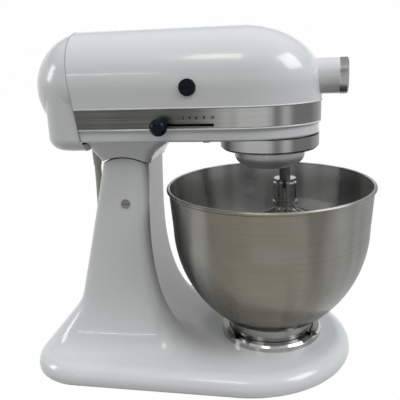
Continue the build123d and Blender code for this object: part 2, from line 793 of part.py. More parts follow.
with BuildPart() as idler_pinion:
    with BuildSketch(idler_base.offset(drive_gear_z)):
        pinion_r = gear_module * idler_teeth / 2
        gear_face_plan(
            idler_teeth,
            pinion_r + 0.8 * gear_module,
            pinion_r - gear_module,
            idler_direction + 180 / idler_teeth,
        )
        Circle(shaft_r, mode=Mode.SUBTRACT)
    extrude(amount=gear_face)
write(idler_pinion, "idler_pinion")

with BuildPart() as idler_shaft:
    rod(idler_base.offset(belly_z + 2.5), shaft_r, head_axis_z + 24 - belly_z - 2.5)
write(idler_shaft, "idler_shaft")

# Planetary drive
drive_base = Plane((bowl_x, 0, 0))
with BuildPart() as drive_gear:
    with BuildSketch(drive_base.offset(drive_gear_z)):
        drive_r = gear_module * drive_teeth / 2
        gear_face_plan(drive_teeth, drive_r + 0.8 * gear_module, drive_r - gear_module, idler_direction + 180)
        with PolarLocations(20, 6):
            Circle(6, mode=Mode.SUBTRACT)
        Circle(drive_shaft_r, mode=Mode.SUBTRACT)
    extrude(amount=gear_face)
write(drive_gear, "drive_gear")

# Bevel pair: both toothed outlines shrink towards the point where the axes cross
center_r = bevel_module * bevel_teeth / 2
hub_gear_r = bevel_module * hub_teeth / 2
with BuildPart() as center_bevel_gear:
    for share in (1, bevel_share):
        with BuildSketch(drive_base.offset(hub_z - share * hub_gear_r)):
            gear_face_plan(bevel_teeth, share * (center_r + 2.0), share * (center_r - 3.0), 0)
    loft(ruled=True)
    rod(drive_base.offset(hub_z - hub_gear_r - 6), 13, 6)
    rod(drive_base.offset(hub_z - hub_gear_r - 6), drive_shaft_r, 30, Mode.SUBTRACT)
write(center_bevel_gear, "center_bevel_gear")

with BuildPart() as hub_bevel_gear:
    for share in (1, bevel_share):
        with BuildSketch(along_x(bowl_x + share * center_r, hub_z)):
            tip = share * (hub_gear_r + 1.3)
            root = share * (hub_gear_r - 2.2)
            gear_face_plan(hub_teeth, tip, root, 180 / hub_teeth - 90)
    loft(ruled=True)
    rod(along_x(bowl_x, hub_z), 4, 40, Mode.SUBTRACT)
write(hub_bevel_gear, "hub_bevel_gear")

with BuildPart() as hub_drive_shaft:
    rod(along_x(bowl_x + bevel_share * center_r, hub_z), 4, 10)
    rod(along_x(bowl_x + center_r, hub_z), hub_collar_r, hub_rear_x - bowl_x - center_r)
    rod(along_x(hub_rear_x, hub_z), hub_shaft_r, hub_bore_x - hub_rear_x)
    with Locations((hub_bore_x, 0, hub_z)):
        Box(22, 9.5, 9.5, mode=Mode.SUBTRACT)
write(hub_drive_shaft, "hub_drive_shaft")

drive_shaft_low_z = carrier_low_z + 3
drive_shaft_top_z = hub_z - bevel_share * hub_gear_r
with BuildPart() as drive_shaft:
    rod(drive_base.offset(drive_shaft_low_z), drive_shaft_r, drive_shaft_top_z - drive_shaft_low_z)
write(drive_shaft, "drive_shaft")

with BuildPart() as drive_shaft_bush:
    rod(drive_base.offset(belly_z), bush_r, chamber_floor + 7)
    rod(drive_base.offset(belly_z), drive_shaft_r + run_gap, 30, Mode.SUBTRACT)
write(drive_shaft_bush, "drive_shaft_bush")

planet_r = planet_module * (ring_teeth - pinion_teeth) / 2
planet_x = bowl_x + planet_r * cos(radians(planet_angle))
planet_y = planet_r * sin(radians(planet_angle))
beater_base = Plane((planet_x, planet_y, 0))
ring_r = planet_module * ring_teeth / 2
with BuildPart() as ring_gear:
    with BuildSketch(drive_base.offset(cup_low_z + 2.4)):
        Circle(cup_r - cup_wall - 1.4)
    extrude(amount=belly_z - cup_low_z - 2.4)
    with BuildSketch(drive_base.offset(cup_low_z + 2.4)):
        gear_face_plan(
            ring_teeth,
            ring_r + planet_module,
            ring_r - 0.8 * planet_module,
            planet_angle,
            0.23,
            0.39,
        )
    extrude(amount=belly_z - cup_low_z - 2.4, mode=Mode.SUBTRACT)
write(ring_gear, "ring_gear")

with BuildPart() as drip_cup:
    with BuildSketch(Plane.XZ):
        with BuildLine():
            Polyline(
                (bowl_x + cup_r, belly_z),
                (bowl_x + cup_r, cup_low_z + 2.4),
                (bowl_x + cup_r - 2.4, cup_low_z),
                (bowl_x + carrier_r + 1.5, cup_low_z),
                (bowl_x + carrier_r + 1.5, cup_low_z + cup_wall),
                (bowl_x + cup_r - 2.4, cup_low_z + cup_wall),
                (bowl_x + cup_r - cup_wall, cup_low_z + 2.4),
                (bowl_x + cup_r - cup_wall, belly_z),
                close=True,
            )
        make_face()
    revolve(axis=bowl_axis)
write(drip_cup, "drip_cup")

with BuildPart() as planetary_carrier:
    with BuildSketch(Plane.XZ):
        with BuildLine():
            Polyline(
                (bowl_x, carrier_low_z),
                (bowl_x, carrier_top_z),
                (bowl_x + carrier_r, carrier_top_z),
                (bowl_x + carrier_r, carrier_low_z + 13),
            )
            EllipticalCenterArc(
                (bowl_x + carrier_r - 16, carrier_low_z + 13), 16, 13, start_angle=0, arc_size=-90
            )
            Line((bowl_x + carrier_r - 16, carrier_low_z), (bowl_x, carrier_low_z))
        make_face()
    revolve(axis=bowl_axis)
    rod(beater_base.offset(carrier_low_z - 4), 8.4, 14)
    rod(beater_base, beater_shaft_r + run_gap, 300, Mode.SUBTRACT)
    rod(drive_base.offset(drive_shaft_low_z), drive_shaft_r, 60, Mode.SUBTRACT)
    with Locations((bowl_x, 0, planetary_pin_z)):
        Cylinder(planetary_pin_r, 100, rotation=(90, 0, planet_angle), mode=Mode.SUBTRACT)
write(planetary_carrier, "planetary_carrier")

with BuildPart() as planetary_pin:
    with Locations((bowl_x, 0, planetary_pin_z)):
        Cylinder(planetary_pin_r, 2 * carrier_r - 1, rotation=(90, 0, planet_angle))
    rod(drive_base.offset(drive_shaft_low_z), drive_shaft_r, 60, Mode.SUBTRACT)
write(planetary_pin, "planetary_pin")

with BuildPart() as beater_pinion:
    with BuildSketch(beater_base.offset(cup_low_z + 3.2)):
        planet_pinion_r = planet_module * pinion_teeth / 2
        gear_face_plan(
            pinion_teeth, planet_pinion_r + 0.8 * planet_module, planet_pinion_r - planet_module, planet_angle
        )
        Circle(beater_shaft_r, mode=Mode.SUBTRACT)
    extrude(amount=10)
write(beater_pinion, "beater_pinion")

with BuildPart() as beater_shaft:
    rod(beater_base.offset(whip_hub_low_z + 4), beater_shaft_r, belly_z - 0.6 - whip_hub_low_z - 4)
    with Locations((planet_x, planet_y, beater_pin_z)):
        Cylinder(beater_pin_r, 40, rotation=(90, 0, 0), mode=Mode.SUBTRACT)
write(beater_shaft, "beater_shaft")

with BuildPart() as beater_pin:
    with Locations((planet_x, planet_y, beater_pin_z)):
        Cylinder(beater_pin_r, 25, rotation=(90, 0, 0))
write(beater_pin, "beater_pin")

# Whip
with BuildPart() as whip_hub:
    with BuildSketch(Plane((planet_x, planet_y, 0), x_dir=(1, 0, 0), z_dir=(0, -1, 0))):
        with BuildLine():
            Polyline(
                (0, whip_hub_low_z),
                (14, whip_hub_low_z),
                (14, whip_hub_low_z + 3.5),
                (12, whip_hub_low_z + 4.5),
                (12, whip_hub_low_z + 6.5),
                (13.2, whip_hub_low_z + 7.5),
                (12.6, whip_top_z - 5),
                (11, whip_top_z - 3.5),
                (12, whip_top_z - 2.5),
                (12, whip_top_z),
                (0, whip_top_z),
                close=True,
            )
        make_face()
    revolve(axis=Axis((planet_x, planet_y, 0), (0, 0, 1)))
    rod(beater_base.offset(whip_hub_low_z + 4), beater_shaft_r, 60, Mode.SUBTRACT)
    with Locations((planet_x, planet_y, whip_top_z)):
        Box(3.8, 40, 2 * 12.75, mode=Mode.SUBTRACT)
write(whip_hub, "whip_hub")

with BuildPart() as whip_wires:
    for i in range(wire_loops):
        turn = radians(180 * i / wire_loops)
        low = whip_low_z + wire_step * i
        reach = whip_r - 0.6 * i
        side = [
            (9.8, whip_hub_low_z),
            (9.8, whip_hub_low_z - 5.5),
            (0.72 * reach, whip_hub_low_z - 17.5),
            (reach, whip_hub_low_z - 51),
            (0.74 * reach, low + 19),
            (0.26 * reach, low),
        ]
        route = side + [(-u, z) for u, z in reversed(side)]
        points = [(planet_x + u * cos(turn), planet_y + u * sin(turn), z) for u, z in route]
        bends = [5, 25, 55, 42, 32]
        with BuildLine() as wire_path:
            FilletPolyline(*points, radius=bends + bends[::-1])
        with BuildSketch(Plane(wire_path.line @ 0, z_dir=wire_path.line % 0)):
            RegularPolygon(wire_r, 6)
        sweep(path=wire_path.line)
write(whip_wires, "whip_wires")

# Speed lever: a thin blade through the band's slot, with a ball knob
blade_out_y = -head_r - 9
blade_in_y = 19 - head_r
with BuildPart() as speed_arm:
    with Locations((speed_x, (blade_out_y + blade_in_y) / 2, speed_z)):
        Box(blade_width, blade_in_y - blade_out_y, blade_thick)
write(speed_arm, "speed_arm")

with BuildPart() as speed_knob:
    with Locations((speed_x, -head_r - 11.5, speed_z)):
        Sphere(speed_knob_r)
    with Locations((speed_x, (blade_out_y + blade_in_y) / 2, speed_z)):
        Box(blade_width, blade_in_y - blade_out_y, blade_thick, mode=Mode.SUBTRACT)
write(speed_knob, "speed_knob")

with BuildPart() as speed_control_board:
    with Locations(((slot_low_x + slot_high_x) / 2, 21.2 - head_r, speed_z)):
        Box(slot_high_x - slot_low_x, 1.6, 10)
write(speed_control_board, "speed_control_board")

# Lock lever: shaft, inner finger and outer arm
arm_y = head_r + 1.5
arm_thick = 4.0
arm_length = 30.0
arm_direction = 200.0
finger_direction = lock_angle + 180 + lock_turn


def lever_plan(direction, length, hub_radius, tip_radius):
    # Flat arm from a round hub to a round tip; local y runs down
    along = (cos(radians(direction)), -sin(radians(direction)))
    across = (-along[1], along[0])
    Circle(hub_radius)
    reach = length - tip_radius
    with Locations((reach * along[0], reach * along[1])):
        Circle(tip_radius)
    corners = []
    for distance, side in ((0, 1), (reach, 1), (reach, -1), (0, -1)):
        half = tip_radius * side
        corners.append((distance * along[0] + half * across[0], distance * along[1] + half * across[1]))
    with BuildLine() as outline:
        Polyline(*corners, close=True)
    make_face(outline.edges())


with BuildPart() as lock_lever:
    rod(about_y(lock_x, lock_z).offset(finger_y - 3), lock_shaft_r, arm_y + arm_thick - finger_y + 3)
    with BuildSketch(about_y(lock_x, lock_z).offset(finger_y)):
        lever_plan(finger_direction, finger_length, lock_shaft_r, finger_half)
    extrude(amount=finger_thick)
    with BuildSketch(about_y(lock_x, lock_z).offset(arm_y)):
        lever_plan(arm_direction, arm_length, lock_shaft_r + 2, lock_shaft_r)
    extrude(amount=arm_thick)
write(lock_lever, "lock_lever")

knob_reach = arm_length - lock_shaft_r
knob_x = lock_x + knob_reach * cos(radians(arm_direction))
knob_z = lock_z + knob_reach * sin(radians(arm_direction))
with BuildPart() as lock_knob:
    rod(about_y(knob_x, knob_z).offset(arm_y + arm_thick), 7.5, 11)
    fillet(lock_knob.faces().sort_by(Axis.Y)[-1].edges(), radius=3)
write(lock_knob, "lock_knob")

# Screws under the gear case
case_screw_places = [(nose_x - 30, 44), (nose_x - 30, -44), (-2, 30), (-2, -30)]
with BuildPart() as gear_case_screws:
    with BuildSketch(Plane.XY.offset(belly_z)):
        with Locations(*case_screw_places):
            Circle(3.6)
    extrude(amount=-1.8)
    for place in case_screw_places:
        with Locations((place[0], place[1], belly_z - 1.8)):
            Box(5.4, 1, 1.2, mode=Mode.SUBTRACT)
write(gear_case_screws, "gear_case_screws")

# Mains cord: strain relief, hanging lead, coil, tie and plug
relief_low_z = 212.0
cord_bore_r = cord_r + 0.1
with BuildPart() as strain_relief:
    with BuildSketch(Plane.XZ):
        with BuildLine():
            Polyline(
                (cord_exit_x, relief_low_z),
                (cord_exit_x + cord_r + 0.7, relief_low_z),
                (cord_exit_x + cord_r + 1.4, skirt_low_z - 4),
                (cord_exit_x + cord_r + 2.4, skirt_low_z - 3),
                (cord_exit_x + cord_r + 2.4, skirt_low_z),
                (cord_exit_x + cord_r + 1.6, skirt_low_z),
                (cord_exit_x + cord_r + 1.6, skirt_low_z + 6),
                (cord_exit_x, skirt_low_z + 6),
                close=True,
            )
        make_face()
    revolve(axis=Axis((cord_exit_x, 0, 0), (0, 0, 1)))
    rod(Plane((cord_exit_x, 0, relief_low_z)), cord_bore_r, 26, Mode.SUBTRACT)
write(strain_relief, "strain_relief")

coil_x = 30.0
coil_y = 179.0
coil_r = 49.0
coil_step = 8.1  # from one turn to the next, in each layer and between the layers
tie_gap = 1.0
coil_z = cord_r + tie_gap
straight = 2 * cord_r
cord_points = [
    (cord_exit_x, 0, skirt_low_z - 4),
    (cord_exit_x, 0, 192),
    (-113, 16, 152),
    (-124, 44, 118),
    (-130, 74, 84),
    (-128, 104, 50),
    (-116, 124, 24),
    (-92, coil_y - coil_r, coil_z),
    (coil_x - straight, coil_y - coil_r, coil_z),
]


def bend_radii(points):
    # Each corner is rounded over 0.45 of the shorter run beside it
    radii = []
    for before, here, after in zip(points, points[1:], points[2:]):
        first = Vector(*here) - Vector(*before)
        second = Vector(*after) - Vector(*here)
        half_turn = radians(first.get_angle(second)) / 2
        radii.append(0.45 * min(first.length, second.length) / tan(half_turn))
    return radii


cord_bends = bend_radii(cord_points)
print("cord bend radii", [round(r) for r in cord_bends])
with BuildPart() as cord_lead:
    with BuildLine() as lead_path:
        FilletPolyline(*cord_points, radius=cord_bends)
    with BuildSketch(Plane(lead_path.line @ 0, z_dir=lead_path.line % 0)):
        RegularPolygon(cord_r, 6)
    sweep(path=lead_path.line)
write(cord_lead, "cord_lead")

# The coil spirals in, climbs in the half turn where it reverses, and spirals out on top
half_step = coil_step / 2
climb_turn = 4
half_turns = 8
with BuildPart() as cord_coil:
    with BuildLine() as coil_path:
        Line((coil_x - straight, coil_y - coil_r, coil_z), (coil_x, coil_y - coil_r, coil_z))
        start_y = coil_y - coil_r
        z = coil_z
        radius = coil_r
        for i in range(half_turns):
            side = 1 if i % 2 == 0 else -1
            end_y = start_y + 2 * side * radius
            middle_y = (start_y + end_y) / 2
            if i == climb_turn:
                points = []
                for k in range(9):
                    angle = pi * k / 8
                    rise = coil_step * (3 * (k / 8) ** 2 - 2 * (k / 8) ** 3)
                    points.append((coil_x + radius * sin(angle), middle_y - radius * cos(angle), z + rise))
                Spline(*points, tangents=[(1, 0, 0), (-1, 0, 0)], tangent_scalars=[1, 1])
                z += coil_step
            else:
                ThreePointArc((coil_x, start_y, z), (coil_x + side * radius, middle_y, z), (coil_x, end_y, z))
            start_y = end_y
            radius += half_step if i >= climb_turn else -half_step
        tail_x = coil_x + coil_r + 4
        Line((coil_x, start_y, z), (tail_x, start_y, z))
    with BuildSketch(Plane(coil_path.line @ 0, z_dir=coil_path.line % 0)):
        RegularPolygon(cord_r, 6)
    sweep(path=coil_path.line)
write(cord_coil, "cord_coil")

samples = 480
coil_wire = coil_path.wires()[0]
coil_length = coil_wire.length
coil_points = [coil_wire.position_at(i / samples) for i in range(samples + 1)]
apart = int(samples * pi * coil_r / coil_length)
least = min((a - b).length for i, a in enumerate(coil_points) for b in coil_points[i + apart :])
cord_length = lead_path.wires()[0].length + coil_length
print("coil least gap", round(least - 2 * cord_r, 2), "cord length", round(cord_length))

tie_thick = 0.8
tie_width = 8.0
tie_inner_x = coil_r - 2 * coil_step - cord_r + 3.2
tie_outer_x = coil_r - half_step + cord_r + 0.6
with BuildPart() as cord_tie:
    with BuildSketch(Plane((coil_x, coil_y - tie_width / 2, 0), x_dir=(1, 0, 0), z_dir=(0, -1, 0))):
        with Locations((-tie_outer_x - tie_thick, 0)):
            Rectangle(
                tie_outer_x - tie_inner_x + 2 * tie_thick,
                coil_z + coil_step + cord_r + 1.1,
                align=(Align.MIN, Align.MIN),
            )
        with Locations((-tie_outer_x, tie_thick)):
            Rectangle(
                tie_outer_x - tie_inner_x,
                coil_z + coil_step + cord_r + 1.1 - 2 * tie_thick,
                align=(Align.MIN, Align.MIN),
                mode=Mode.SUBTRACT,
            )
    extrude(amount=-tie_width)
write(cord_tie, "cord_tie")

plug_z = coil_z + coil_step
plug_y = coil_y - coil_r
plug_r = 11.6
plug_length = 38.0
with BuildPart() as plug_body:
    with BuildSketch(Plane((tail_x, plug_y, plug_z), x_dir=(1, 0, 0), z_dir=(0, -1, 0))):
        with BuildLine():
            Polyline(
                (0, 0),
                (0, cord_r + 1.5),
                (plug_length - 24, cord_r + 4),
                (plug_length - 20, plug_r),
                (plug_length - 1, plug_r),
                (plug_length, plug_r - 1),
                (plug_length, 0),
                close=True,
            )
        make_face()
    revolve(axis=Axis((tail_x, plug_y, plug_z), (1, 0, 0)))
write(plug_body, "plug_body")

with BuildPart() as plug_pins:
    for side in (-1, 1):
        with Locations((tail_x + plug_length + 8.5, plug_y + side * 6.3, plug_z + 2)):
            Box(17, 1.5, 6.3)
    with Locations(along_x(tail_x + plug_length + 9.5, plug_z - 6, plug_y)):
        Cylinder(2.4, 19)
write(plug_pins, "plug_pins")
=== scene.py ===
import json
import math

import bpy
import numpy as np
from mathutils import Matrix, Vector


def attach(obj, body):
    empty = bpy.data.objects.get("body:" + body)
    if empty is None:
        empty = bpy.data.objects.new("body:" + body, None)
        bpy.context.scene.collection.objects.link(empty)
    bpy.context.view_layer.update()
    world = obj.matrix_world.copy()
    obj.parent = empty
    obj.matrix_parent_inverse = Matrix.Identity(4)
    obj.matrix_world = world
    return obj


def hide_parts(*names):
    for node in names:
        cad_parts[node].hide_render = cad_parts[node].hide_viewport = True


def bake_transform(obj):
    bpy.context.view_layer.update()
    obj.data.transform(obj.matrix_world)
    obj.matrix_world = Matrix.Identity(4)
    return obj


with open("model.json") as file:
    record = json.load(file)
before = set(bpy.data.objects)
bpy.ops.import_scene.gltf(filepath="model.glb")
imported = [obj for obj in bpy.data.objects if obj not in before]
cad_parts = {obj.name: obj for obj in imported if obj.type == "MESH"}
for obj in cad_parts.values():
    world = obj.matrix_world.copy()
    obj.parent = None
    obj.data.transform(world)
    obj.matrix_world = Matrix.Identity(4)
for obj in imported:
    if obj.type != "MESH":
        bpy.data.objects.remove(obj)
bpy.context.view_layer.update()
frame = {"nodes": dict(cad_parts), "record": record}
nodes = frame["nodes"]
scene = bpy.context.scene
scene.view_settings.view_transform = "Standard"
print("frame loaded:", len(nodes), "nodes")


# Camera: beside the mixer, a little ahead of it and above the bowl
camera = dict(
    place=(0.11255, -0.5892, 0.3418),
    yaw=-11.2,
    pitch=15.8,
    roll=-2.44,
    focalPixels=564.7,
    imagePixels=400,
    sensorWidth=36,
    clipStart=0.01,
)


def addCamera(s):
    yaw, pitch, roll = (math.radians(s[k]) for k in ("yaw", "pitch", "roll"))
    ahead = Vector((math.sin(yaw) * math.cos(pitch), math.cos(yaw) * math.cos(pitch), -math.sin(pitch)))
    level = Vector((math.cos(yaw), -math.sin(yaw), 0))
    upright = level.cross(ahead)
    right = math.cos(roll) * level + math.sin(roll) * upright
    up = math.cos(roll) * upright - math.sin(roll) * level
    data = bpy.data.cameras.new("camera")
    data.sensor_width = s["sensorWidth"]
    data.lens = s["sensorWidth"] * s["focalPixels"] / s["imagePixels"]
    data.clip_start = s["clipStart"]
    obj = bpy.data.objects.new("camera", data)
    turn = Matrix((right, up, -ahead)).transposed().to_4x4()
    obj.matrix_world = Matrix.Translation(s["place"]) @ turn
    scene.collection.objects.link(obj)
    scene.camera = obj


addCamera(camera)
print("camera set")


# Mains cord: the lead hangs from the end cover, runs behind the column and ends in a tied coil
cord = dict(
    diameter=0.0075,
    length=1.487,
    route=[
        (-0.11925, 0, 0.232),
        (-0.11925, 0, 0.192),
        (-0.12725, 0.016, 0.152),
        (-0.13825, 0.044, 0.118),
        (-0.14425, 0.074, 0.084),
        (-0.14225, 0.104, 0.050),
        (-0.13025, 0.124, 0.024),
        (-0.10625, 0.130, 0.00475),
    ],
    coilX=0.01575,
    startY=0.130,
    lowZ=0.00475,
    radius=0.049,
    step=0.0081,  # from turn to turn, and from the lower layer to the upper one
    halfTurns=8,
    climbAt=4,
    pointsPerHalf=8,
    tailX=0.06875,
    swings=(-0.11925, 0, 0.205),  # on the real mixer the lead moves with the head above here
    rests=(-0.14425, 0.104, 0.050),  # and lies still below here
    order=3,
    stepsPerPoint=6,
    bevelSteps=4,
)


def coilPoints(s):
    # Half circles whose radius shrinks to the middle of the winding and grows again one layer higher
    points = []
    y, z, radius = s["startY"], s["lowZ"], s["radius"]
    for i in range(s["halfTurns"]):
        side = 1 if i % 2 == 0 else -1
        angle = np.linspace(0, math.pi, s["pointsPerHalf"], endpoint=False)
        share = angle / math.pi
        rise = s["step"] * (3 * share**2 - 2 * share**3) if i == s["climbAt"] else 0 * share
        x = s["coilX"] + side * radius * np.sin(angle)
        points.append(np.stack([x, y + side * radius * (1 - np.cos(angle)), z + rise], axis=1))
        y += 2 * side * radius
        z += s["step"] if i == s["climbAt"] else 0
        radius += s["step"] / 2 if i >= s["climbAt"] else -s["step"] / 2
    points.append([(s["coilX"], y, z), (s["tailX"] - 2 * s["diameter"], y, z), (s["tailX"], y, z)])
    return np.concatenate(points)


def addCord(s):
    # The route as one NURBS line, then the tube that follows it
    points = np.concatenate([s["route"], coilPoints(s)])
    curve = bpy.data.curves.new("mains_cord", "CURVE")
    curve.dimensions = "3D"
    curve.bevel_resolution = s["bevelSteps"]
    curve.use_fill_caps = True
    spline = curve.splines.new("NURBS")
    spline.points.add(len(points) - 1)
    spline.points.foreach_set("co", np.column_stack([points, np.ones(len(points))]).ravel())
    spline.order_u = s["order"]
    spline.use_endpoint_u = True
    spline.resolution_u = s["stepsPerPoint"]
    holder = bpy.data.objects.new("mains_cord_line", curve)
    line = bpy.data.meshes.new_from_object(holder)
    holder.data.bevel_depth = s["diameter"] / 2
    skin = bpy.data.meshes.new_from_object(holder)
    bpy.data.objects.remove(holder)
    skin.shade_smooth()
    obj = bpy.data.objects.new("mains_cord", skin)
    scene.collection.objects.link(obj)
    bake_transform(obj)
    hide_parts("cord_lead", "cord_coil")
    return obj


cordPiece = addCord(cord)
print("cord laid")


# Shader sums: a Term stands for a socket, and each operator adds one Math node behind it
class Term:
    def __init__(self, recipe, socket):
        self.recipe = recipe
        self.socket = socket

    def math(self, operation, *others):
        return self.recipe.node("ShaderNodeMath", dict(operation=operation), dict(enumerate((self, *others))))

    def __add__(self, other):
        return self.math("ADD", other)

    def __sub__(self, other):
        return self.math("SUBTRACT", other)

    def __rsub__(self, other):
        return self.recipe.node("ShaderNodeMath", dict(operation="SUBTRACT"), {0: other, 1: self})

    def __mul__(self, other):
        return self.math("MULTIPLY", other)

    __radd__ = __add__
    __rmul__ = __mul__


class Recipe:
    # The node tree of a finish or of the world; node() is the only place where nodes are made
    def __init__(self, owner):
        owner.use_nodes = True
        self.tree = owner.node_tree

    def feed(self, socket, value):
        if isinstance(value, Term):
            self.tree.links.new(value.socket, socket)
        else:
            socket.default_value = value

    def node(self, kind, settings, sockets, output=0):
        made = self.tree.nodes.new(kind)
        for key, value in settings.items():
            setattr(made, key, value)
        for key, value in sockets.items():
            self.feed(made.inputs[key], value)
        return Term(self, made.outputs[output])

    def vector(self, operation, *values, output=0):
        return self.node("ShaderNodeVectorMath", dict(operation=operation), dict(enumerate(values)), output)

    def place(self, scale=(1, 1, 1), centre=(0, 0, 0)):
        # Object coordinates, moved to a centre and stretched
        spot = self.node("ShaderNodeTexCoord", {}, {}, "Object")
        return self.vector("MULTIPLY", self.vector("SUBTRACT", spot, centre), scale)

    def axes(self, vector):
        return [self.node("ShaderNodeSeparateXYZ", {}, {0: vector}, axis) for axis in "XYZ"]

    def noise(self, vector, scale, detail=2.0):
        return self.node("ShaderNodeTexNoise", {}, {"Vector": vector, "Scale": scale, "Detail": detail})

    def stretched(self, stretch, detail=2.0):
        # Noise that is finer along the axes with larger numbers
        return self.noise(self.place(stretch), 1, detail)

    def mix(self, factor, first, second):
        colors = [value if isinstance(value, Term) else (*value, 1) for value in (first, second)]
        return self.node("ShaderNodeMix", dict(data_type="RGBA"), {0: factor, 6: colors[0], 7: colors[1]}, 2)

    def band(self, value, low, high):
        # 0 below low, 1 above high, smooth between
        settings = dict(interpolation_type="SMOOTHSTEP")
        return self.node("ShaderNodeMapRange", settings, {"Value": value, "From Min": low, "From Max": high})

    def bump(self, height, strength, distance):
        sockets = {"Height": height, "Strength": strength, "Distance": distance}
        return self.node("ShaderNodeBump", {}, sockets)


def newFinish(name, sockets):
    material = bpy.data.materials.new(name)
    recipe = Recipe(material)
    shader = recipe.tree.nodes["Principled BSDF"]
    for key, value in sockets(recipe).items():
        recipe.feed(shader.inputs[key], value)
    return material


# White gloss enamel of the castings: faint clouding, orange peel under a clear coat, and a painted shadow: a
# dark line where the round crown of the column meets the head, about the hinge pin
enamel = dict(
    light=(0.795, 0.81, 0.805),
    shade=(0.755, 0.775, 0.775),
    cloud=9,
    peel=650,
    peelBump=(0.08, 0.0001),
    roughness=0.16,
    cloudRoughness=0.12,
    coat=0.3,
    coatRoughness=0.05,
    pin=(-0.07675, 0, 0.178),
    # painted shadow of the crown gap: a dark ring about the hinge pin, its colour and roughness below
    gapRadius=0.04975,
    gapHalf=0.0009,
    gapEdge=0.0002,
    gapLowZ=0.203,
    gapShadeColor=(0.09, 0.09, 0.088),
    gapRoughness=0.4,
)


def enamelSockets(r):
    s = enamel
    cloud = r.noise(r.place(), s["cloud"], detail=3)
    peel = r.noise(r.place(), s["peel"])
    reach = r.vector("LENGTH", r.place((1, 0, 1), s["pin"]), output="Value")
    offset = (reach - s["gapRadius"]).math("ABSOLUTE")
    above = r.axes(r.place())[2].math("GREATER_THAN", s["gapLowZ"])
    # painted shadow: dark ring in the gap between the crown and the head
    gapShade = (1 - r.band(offset, s["gapHalf"], s["gapHalf"] + s["gapEdge"])) * above
    paint = r.mix(cloud, s["light"], s["shade"])
    return {
        "Base Color": r.mix(gapShade, paint, s["gapShadeColor"]),
        "Roughness": s["roughness"] + s["cloudRoughness"] * cloud + s["gapRoughness"] * gapShade,
        "Coat Weight": s["coat"] - s["coat"] * gapShade,
        "Coat Roughness": s["coatRoughness"],
        "Normal": r.bump(peel, *s["peelBump"]),
    }


# Bowl: steel polished on a lathe, with hair lines round the axis; painted into its colour are reflections of
# upright streaks and a warm tone in the middle of the near side, painted shade on the flanks, and a painted
# lighter inside
lathe = dict(
    axisX=0.07275,
    # dark and bright: painted reflections of the upright streaks
    dark=(0.12, 0.122, 0.112),
    bright=(0.27, 0.27, 0.25),
    streakLift=1.2,
    streakScale=3.6,
    streakBand=(0.36, 0.64),
    smudgeStretch=(14, 14, 40),
    lineStretch=(6, 6, 2200),
    lineBand=(0.4, 0.8),
    lineBump=(0.06, 0.0001),
    # warm: a painted warm reflection in the middle of the near side
    warmReflection=(0.19, 0.168, 0.132),
    warmBand=(0.72, 1.0),
    warmLeast=0.35,
    warmSmudge=0.8,
    # flank: painted shade on the flanks that turn away from the near side
    flankShade=(0.05, 0.05, 0.05),
    flankBand=(0.05, 0.75),
    flankShare=0.6,
    flankLines=0.2,
    # inside colours: a painted lighter inside, the same steel as outside
    insideLitDark=(0.34, 0.345, 0.34),
    insideLitBright=(0.72, 0.72, 0.70),
    insideBand=(-0.1, 0.1),
    roughness=0.2,
    streakRoughness=0.08,
    smudgeRoughness=0.1,
    anisotropy=0.7,
)


def latheSockets(r):
    s = lathe
    spot = r.place(centre=(s["axisX"], 0, 0))
    around = r.vector("NORMALIZE", r.vector("MULTIPLY", spot, (1, 1, 0)))
    lift = r.vector("MULTIPLY_ADD", spot, (0, 0, s["streakLift"]), around)
    streak = r.band(r.noise(lift, s["streakScale"], detail=1), *s["streakBand"])
    smudge = r.stretched(s["smudgeStretch"], detail=3)
    lines = r.stretched(s["lineStretch"], detail=1)
    near = 0 - r.axes(around)[1]
    facing = r.node("ShaderNodeTexCoord", {}, {}, "Normal")
    outward = r.vector("DOT_PRODUCT", facing, around, output="Value")
    # painted reflections and shade: streaks, a warm near side, shaded flanks with darker hair lines, a
    # lighter inside
    streakReflections = r.mix(streak, s["dark"], s["bright"])
    warmReflectionShare = r.band(near, *s["warmBand"]) * (s["warmLeast"] + s["warmSmudge"] * smudge)
    withWarmReflection = r.mix(warmReflectionShare, streakReflections, s["warmReflection"])
    away = 1 - r.band(near, *s["flankBand"])
    flankShadeAndLines = s["flankShare"] * away + s["flankLines"] * r.band(lines, *s["lineBand"])
    outside = r.mix(flankShadeAndLines, withWarmReflection, s["flankShade"])
    litInside = r.mix(streak, s["insideLitDark"], s["insideLitBright"])
    return {
        "Base Color": r.mix(r.band(outward, *s["insideBand"]), litInside, outside),
        "Metallic": 1.0,
        "Roughness": s["roughness"] + s["streakRoughness"] * streak + s["smudgeRoughness"] * smudge,
        "Anisotropic": s["anisotropy"],
        "Normal": r.bump(lines, *s["lineBump"]),
    }


# Trim band and drip cup: satin steel brushed along its length; towards the nose a painted silver reflection,
# broken by painted dark upright bars
brushed = dict(
    dark=(0.075, 0.074, 0.067),
    bright=(0.15, 0.148, 0.138),
    satinBand=(0.35, 0.65),
    lineStretch=(5, 5, 2600),
    lineBump=(0.1, 0.0001),
    cloudStretch=(9, 9, 2),
    # silver and bar: painted reflection towards the nose, broken by dark bars
    silverReflection=(0.45, 0.46, 0.445),
    silverLeast=0.6,
    silverLines=0.4,
    darkBarReflection=(0.15, 0.155, 0.15),
    barStretch=(46, 12, 1),
    barBand=(0.36, 0.6),
    turnX=(0.0, 0.05),
    roughness=0.28,
    lineRoughness=0.14,
    anisotropy=0.5,
)


